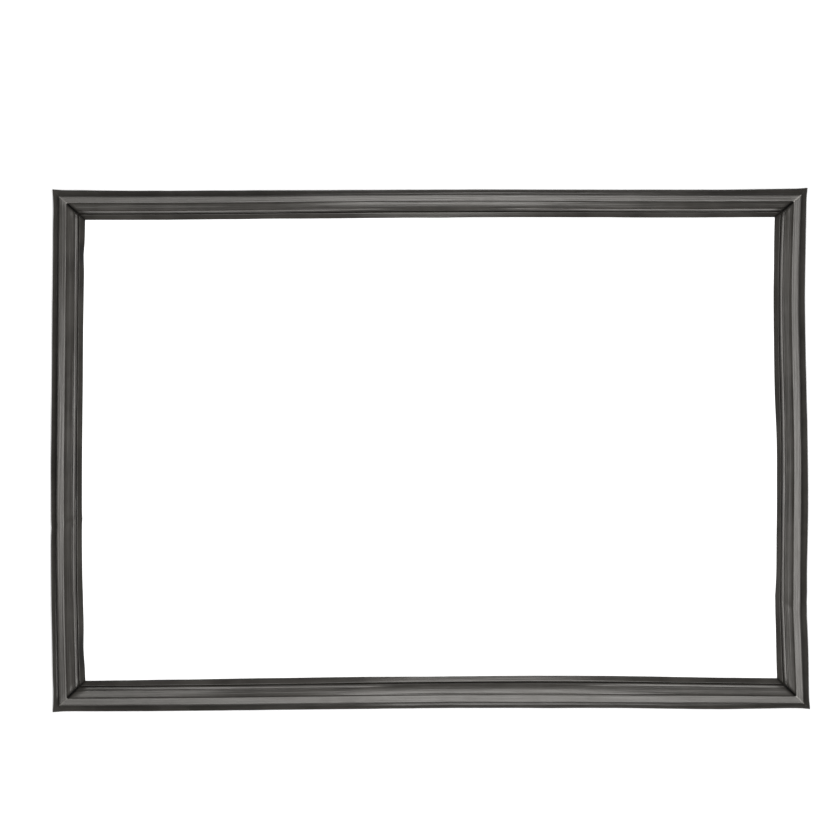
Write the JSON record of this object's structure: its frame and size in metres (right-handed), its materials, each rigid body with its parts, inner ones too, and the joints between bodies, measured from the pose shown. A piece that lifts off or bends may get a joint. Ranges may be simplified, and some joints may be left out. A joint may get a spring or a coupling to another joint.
{
  "type": "refrigerator door gasket",
  "caption": "Rectangular magnetic door seal for a refrigerator: a mitred and welded soft vinyl extrusion with flexible magnet strips in its pocket and an arrow dart below.",
  "frame": {"origin": "centre of the bounding box, on the surface that the dart's nose rests on", "axes": "+X along the long sides, +Y across, +Z out of the magnet face, towards the cabinet"},
  "size_m": [0.7594, 0.5242, 0.0244],
  "materials": {
    "gasket_vinyl": "satin dark warm grey flexible PVC, as extruded",
    "magnet_ferrite": "matt rubber-bonded ferrite"
  },
  "bodies": {
    "root": {"gasket_frame": "gasket_vinyl", "magnet_strip_bottom": "magnet_ferrite", "magnet_strip_right": "magnet_ferrite", "magnet_strip_top": "magnet_ferrite", "magnet_strip_left": "magnet_ferrite"}
  },
  "joints": []
}
